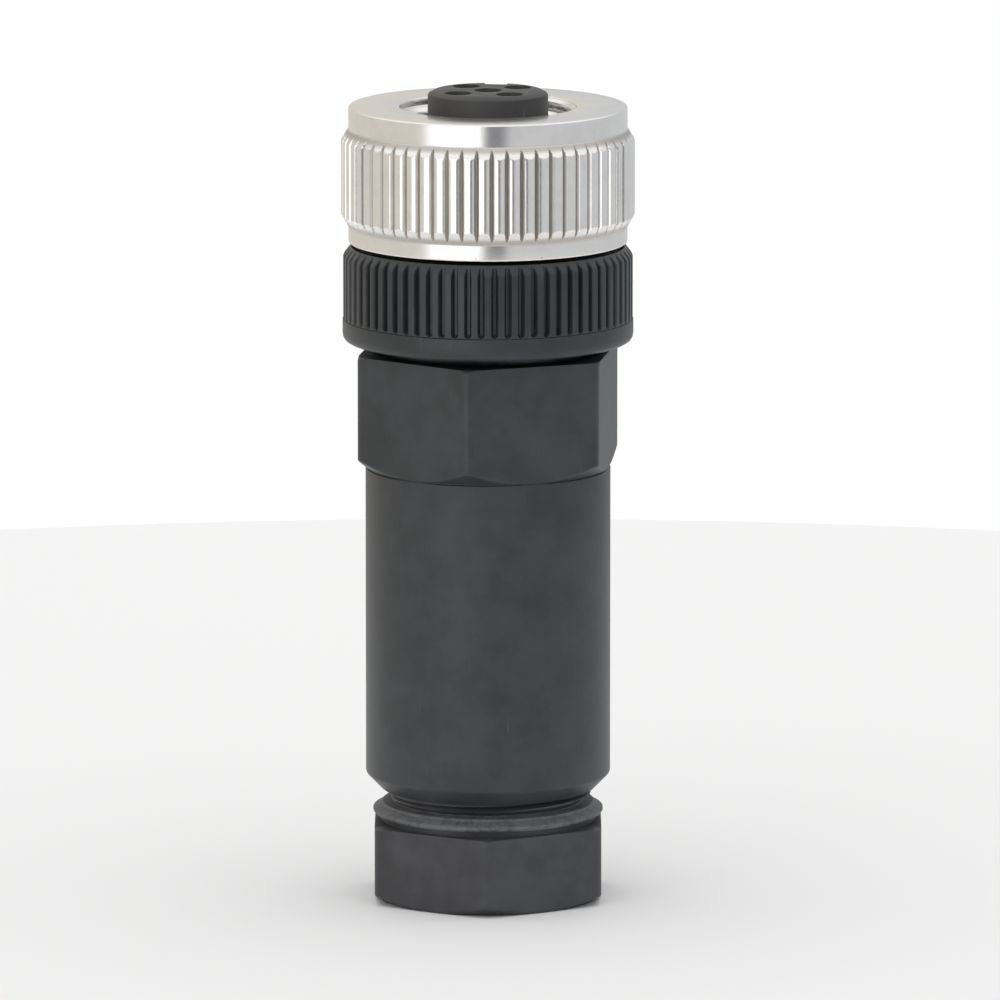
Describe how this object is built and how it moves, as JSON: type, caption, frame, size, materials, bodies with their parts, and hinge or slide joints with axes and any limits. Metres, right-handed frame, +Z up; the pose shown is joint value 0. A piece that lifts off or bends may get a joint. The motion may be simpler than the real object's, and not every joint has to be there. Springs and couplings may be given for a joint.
{
  "type": "m12 connector",
  "caption": "Straight round cable connector with a knurled coupling nut, a ribbed grip ring, a housing with a hexagon collar and a screw gland for a round cable.",
  "frame": {"origin": "centre of the gland nut's flat base, on the connector's axis", "axes": "+Z up the axis to the contact face; -Y to the front, where a corner of the gland nut's hexagon points; the keyway lies 9 degrees from +Y, towards +X"},
  "size_m": [0.02, 0.02, 0.0557],
  "materials": {
    "gland_plastic": "moulded polyamide, satin, scuffed on its cone collar",
    "cage_plastic": "moulded polyamide, satin",
    "seal_rubber": "nitrile rubber, dull",
    "housing_plastic": "glass-filled polyamide, fine satin grain",
    "ring_plastic": "moulded polyamide, satin with glossy edges",
    "insert_plastic": "moulded thermoplastic, fine matte",
    "nickel": "nickel-plated brass, turned and knurled",
    "nickel_steel": "bright spring steel",
    "gilt_brass": "gold-plated brass",
    "screw_steel": "zinc-plated steel"
  },
  "bodies": {
    "housing": {"housing": "housing_plastic", "grommet": "seal_rubber"},
    "clamp_cage": {"clamp_cage": "cage_plastic"},
    "gland_nut": {"gland_nut": "gland_plastic"},
    "body_seal": {"body_seal": "seal_rubber"},
    "front": {"grip_ring": "ring_plastic", "contact_insert": "insert_plastic", "contact_1": "gilt_brass", "contact_2": "gilt_brass", "contact_3": "gilt_brass", "contact_4": "gilt_brass", "nut_retainer": "nickel_steel", "face_seal": "seal_rubber"},
    "coupling_nut": {"coupling_nut": "nickel"},
    "guard_1": {"wire_guard_1": "nickel_steel"},
    "screw_1": {"terminal_screw_1": "screw_steel"},
    "guard_2": {"wire_guard_2": "nickel_steel"},
    "screw_2": {"terminal_screw_2": "screw_steel"},
    "guard_3": {"wire_guard_3": "nickel_steel"},
    "screw_3": {"terminal_screw_3": "screw_steel"},
    "guard_4": {"wire_guard_4": "nickel_steel"},
    "screw_4": {"terminal_screw_4": "screw_steel"}
  },
  "joints": [
    {"name": "clamp_slide", "type": "slide", "parent": "housing", "child": "clamp_cage", "axis": [0, 0, -1], "range_m": [0, 0.0048]},
    {"name": "gland_turn", "type": "hinge", "parent": "clamp_cage", "child": "gland_nut", "pos_m": [0, 0, 0.003], "axis": [0, 0, -1], "range_deg": [0, 1728]},
    {"name": "seal_slide", "type": "slide", "parent": "housing", "child": "body_seal", "axis": [0, 0, 1], "range_m": [0, 0.0048]},
    {"name": "front_turn", "type": "hinge", "parent": "body_seal", "child": "front", "pos_m": [0, 0, 0.04], "axis": [0, 0, 1], "range_deg": [0, 1728]},
    {"name": "nut_spin", "type": "hinge", "parent": "front", "child": "coupling_nut", "pos_m": [0, 0, 0.05], "axis": [0, 0, 1], "continuous": true},
    {"name": "guard_slide_1", "type": "slide", "parent": "front", "child": "guard_1", "axis": [0.809, 0.5878, 0], "range_m": [0, 0.0007]},
    {"name": "screw_turn_1", "type": "hinge", "parent": "guard_1", "child": "screw_1", "pos_m": [0.00324, 0.00235, 0.0308], "axis": [0.809, 0.5878, 0], "range_deg": [0, 630.25]},
    {"name": "guard_slide_2", "type": "slide", "parent": "front", "child": "guard_2", "axis": [-0.5878, 0.809, 0], "range_m": [0, 0.0007]},
    {"name": "screw_turn_2", "type": "hinge", "parent": "guard_2", "child": "screw_2", "pos_m": [-0.00235, 0.00324, 0.0308], "axis": [-0.5878, 0.809, 0], "range_deg": [0, 630.25]},
    {"name": "guard_slide_3", "type": "slide", "parent": "front", "child": "guard_3", "axis": [-0.809, -0.5878, 0], "range_m": [0, 0.0007]},
    {"name": "screw_turn_3", "type": "hinge", "parent": "guard_3", "child": "screw_3", "pos_m": [-0.00324, -0.00235, 0.0308], "axis": [-0.809, -0.5878, 0], "range_deg": [0, 630.25]},
    {"name": "guard_slide_4", "type": "slide", "parent": "front", "child": "guard_4", "axis": [0.5878, -0.809, 0], "range_m": [0, 0.0007]},
    {"name": "screw_turn_4", "type": "hinge", "parent": "guard_4", "child": "screw_4", "pos_m": [0.00235, -0.00324, 0.0308], "axis": [0.5878, -0.809, 0], "range_deg": [0, 630.25]}
  ],
  "couplings": [
    {"joint": "clamp_slide", "follows": "gland_turn", "m_per_rad": 0.00015915},
    {"joint": "seal_slide", "follows": "front_turn", "m_per_rad": 0.00015915},
    {"joint": "screw_turn_1", "follows": "guard_slide_1", "rad_per_m": 15708},
    {"joint": "screw_turn_2", "follows": "guard_slide_2", "rad_per_m": 15708},
    {"joint": "screw_turn_3", "follows": "guard_slide_3", "rad_per_m": 15708},
    {"joint": "screw_turn_4", "follows": "guard_slide_4", "rad_per_m": 15708}
  ]
}
